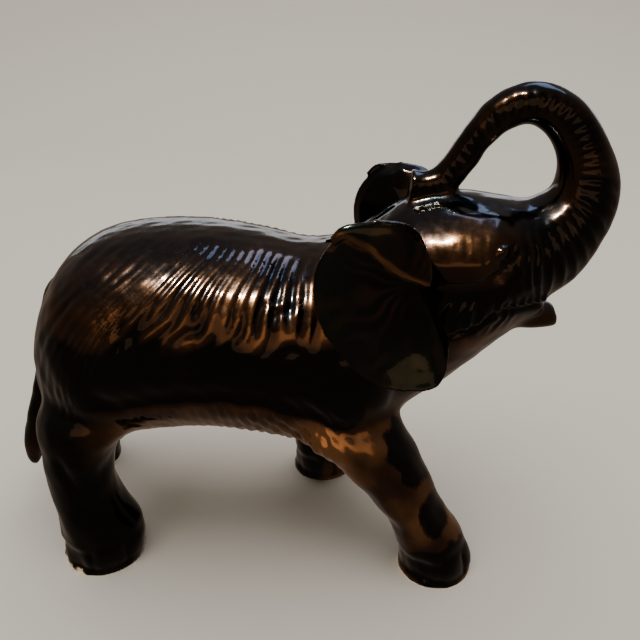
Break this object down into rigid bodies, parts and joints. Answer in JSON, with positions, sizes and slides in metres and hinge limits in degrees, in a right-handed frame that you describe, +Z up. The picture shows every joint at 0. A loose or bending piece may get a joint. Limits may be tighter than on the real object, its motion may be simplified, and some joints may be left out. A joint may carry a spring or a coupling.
{
  "type": "elephant coin bank",
  "caption": "Glazed ceramic still bank shaped as a walking elephant with its trunk curled back over its head, a coin slot in the nape and a soft stopper in the belly.",
  "frame": {"origin": "middle of the outer box, on the ground under the feet", "axes": "+X toward the head, +Y toward the elephant's left side, +Z up"},
  "size_m": [0.2898, 0.1132, 0.221],
  "materials": {
    "black_glaze": "thick gloss glaze with a bronze lustre",
    "brown_glaze": "thick gloss glaze with a bronze lustre",
    "stopper_rubber": "matt soft rubber"
  },
  "bodies": {
    "casting": {"torso_shell": "black_glaze", "head_shell": "black_glaze", "trunk": "brown_glaze", "ear_right": "brown_glaze", "ear_left": "brown_glaze", "foreleg_right": "black_glaze", "foreleg_left": "black_glaze", "hindleg_right": "black_glaze", "hindleg_left": "black_glaze", "tail": "black_glaze"},
    "stopper": {"stopper": "stopper_rubber"}
  },
  "joints": [
    {"name": "stopper_pull", "type": "slide", "parent": "casting", "child": "stopper", "axis": [0, 0, -1], "range_m": [0, 0.03]}
  ]
}
